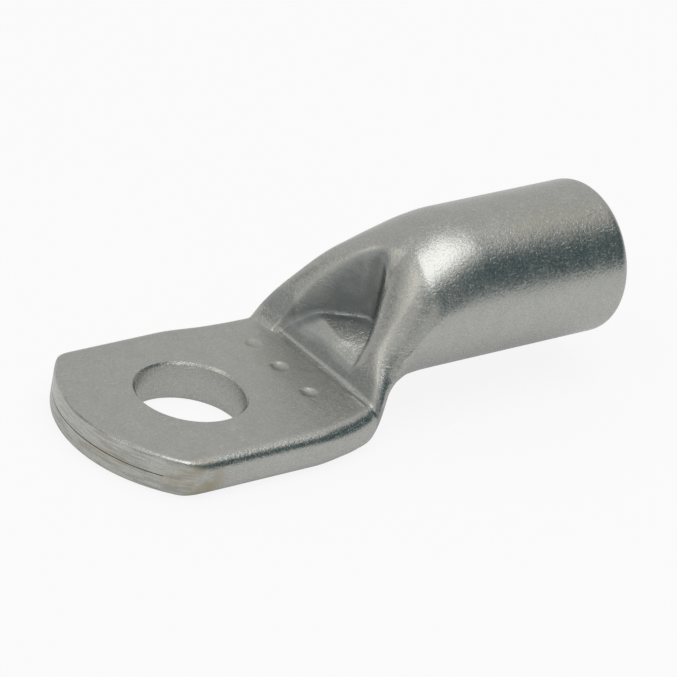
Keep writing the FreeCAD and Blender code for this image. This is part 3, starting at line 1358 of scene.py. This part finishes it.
@dataclass(frozen=True)
class Panel:
    """A soft panel light, aimed at the lug from a given direction."""

    name: str
    direction: Point
    size: Span
    brightness: float
    distance: float = 0.35

    def place(self, target: Vector) -> None:
        """Hangs the panel so that it faces the target.

        Args:
            target: the place that it faces, in metres.
        """
        light = bpy.data.lights.new(self.name, "AREA")
        light.shape = "RECTANGLE"
        light.size, light.size_y = self.size
        light.energy = self.brightness * math.pi * self.size[0] * self.size[1]
        lamp = bpy.data.objects.new(self.name, light)
        away = Vector(self.direction).normalized()
        lamp.location = target + away * self.distance
        lamp.rotation_euler = away.to_track_quat("Z", "Y").to_euler()
        bpy.context.scene.collection.objects.link(lamp)


@dataclass(frozen=True)
class Patch:
    """A soft-edged part of the room with a colour of its own.

    Its place is given in degrees: its middle around from +X, half its width, and its lowest
    and highest angle above the table.
    """

    around: float
    half_width: float
    low: float
    high: float
    colour: Colour
    softness: float = 5.0

    def mask(self, tree: Tree, direction: Socket) -> Socket:
        """Mask that is 1 in the directions of the patch.

        Args:
            tree: the tree that gets the nodes.
            direction: the direction that is looked in.

        Returns:
            The mask.
        """
        heading = tree.vector(Operation.NORMALIZE, tree.vector(Operation.MULTIPLY, direction, LEVEL))
        around = math.radians(self.around)
        edge, full = (
            math.cos(math.radians(self.half_width + sign * self.softness)) for sign in (1.0, -1.0)
        )
        beside = tree.along(heading, (math.cos(around), math.sin(around), 0.0)).ramp(edge, full)
        height = tree.along(direction, UPWARDS)
        low, high = (
            height.ramp(*(math.sin(math.radians(angle + sign * self.softness)) for sign in (-1.0, 1.0)))
            for angle in (self.low, self.high)
        )
        return beside * low * (1.0 - high)


@dataclass
class Studio:
    """Table, panel light, surroundings and camera."""

    azimuth: float = -42.386
    elevation: float = 28.505
    roll: float = 10.822
    distance: float = 400.0
    focal_pixels: float = 5400.0
    aim: Span = (10.917, 3.895)
    frame_pixels: float = 677.0
    origin_height: float = 3.2
    sensor_width: float = 36.0
    clip: Span = (0.01, 20.0)
    table_reach: float = 3000.0
    lit_place: Point = (0.013, 0.0, 0.005)
    table_finish: Plain = Plain()
    room_colour: Colour = (0.62, 0.62, 0.61, 1.0)
    patches: tuple[Patch, ...] = (
        Patch(-33.0, 34.0, 3.0, 46.0, (0.07, 0.115, 0.125, 1.0)),
        Patch(-98.0, 30.0, 32.0, 50.0, (0.12, 0.16, 0.17, 1.0), 7.0),
        Patch(141.0, 14.0, 2.0, 19.0, (0.30, 0.31, 0.30, 1.0)),
        Patch(174.0, 15.0, 16.0, 36.0, (0.85, 0.84, 0.80, 1.0)),
        Patch(174.0, 16.0, 40.0, 60.0, (1.4, 1.37, 1.28, 1.0)),
    )
    panels: tuple[Panel, ...] = (Panel("top_panel", (0.08, -0.14, 0.98), (0.25, 0.25), 1.45),)

    def camera(self) -> None:
        """Sets the camera where the photograph was taken from."""
        angles = (self.azimuth, self.elevation, self.roll)
        azimuth, elevation, roll = (math.radians(angle) for angle in angles)
        reach = math.cos(elevation)
        back = Vector((math.sin(azimuth) * reach, -math.cos(azimuth) * reach, math.sin(elevation)))
        level_right = Vector((math.cos(azimuth), math.sin(azimuth), 0.0))
        level_up = back.cross(level_right)
        right = level_right * math.cos(roll) + level_up * math.sin(roll)
        up = level_up * math.cos(roll) - level_right * math.sin(roll)
        data = bpy.data.cameras.new("photo_camera")
        data.sensor_width = self.sensor_width
        data.lens = self.focal_pixels / self.frame_pixels * data.sensor_width
        data.clip_start, data.clip_end = self.clip
        camera = bpy.data.objects.new("photo_camera", data)
        place = back * self.distance + right * self.aim[0] + up * self.aim[1]
        place = place + Vector((0, 0, self.origin_height))
        matrix = Matrix((right, up, back)).transposed().to_4x4()
        matrix.translation = place * MM
        camera.matrix_world = matrix
        bpy.context.scene.collection.objects.link(camera)
        bpy.context.scene.camera = camera

    def table(self) -> None:
        """Lays a wide matt sheet under the lug."""
        half = self.table_reach
        points = np.array([(-half, -half, 0.0), (half, -half, 0.0), (half, half, 0.0), (-half, half, 0.0)])
        sheet = mesh_object("table_sheet", points, [(0, 1, 2, 3)])
        sheet.data.materials.append(self.table_finish.material())

    def surroundings(self) -> None:
        """Fills the room evenly, with the patches that the barrel and the neck mirror."""
        world = bpy.data.worlds.new("room")
        tree = Tree(world)
        direction = tree.add("ShaderNodeTexCoord", {}, {}, output="Generated")
        shown: Socket | Colour = self.room_colour
        for patch in self.patches:
            shown = tree.blend(patch.mask(tree, direction), shown, patch.colour)
        shown = tree.blend(tree.ray(Ray.CAMERA), shown, grey(1.0))
        background = tree.add("ShaderNodeBackground", {}, {"Color": shown, "Strength": 1.0})
        tree.add("ShaderNodeOutputWorld", {}, {"Surface": background})
        bpy.context.scene.world = world

    def build(self) -> None:
        """Sets up the whole studio."""
        self.camera()
        self.table()
        self.surroundings()
        for panel in self.panels:
            panel.place(Vector(self.lit_place))
        bpy.context.scene.view_settings.view_transform = "Standard"


def main() -> None:
    """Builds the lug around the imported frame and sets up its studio."""
    logging.basicConfig(level=logging.INFO, format="%(name)s: %(message)s")
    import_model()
    maker = CableLug()
    lug = maker.build()
    maker.dress(lug)
    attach(lug, "root")
    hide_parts("cable_lug")
    log.info("%s: %d faces", lug.name, len(lug.data.polygons))
    Studio().build()


if __name__ == "__main__":
    main()
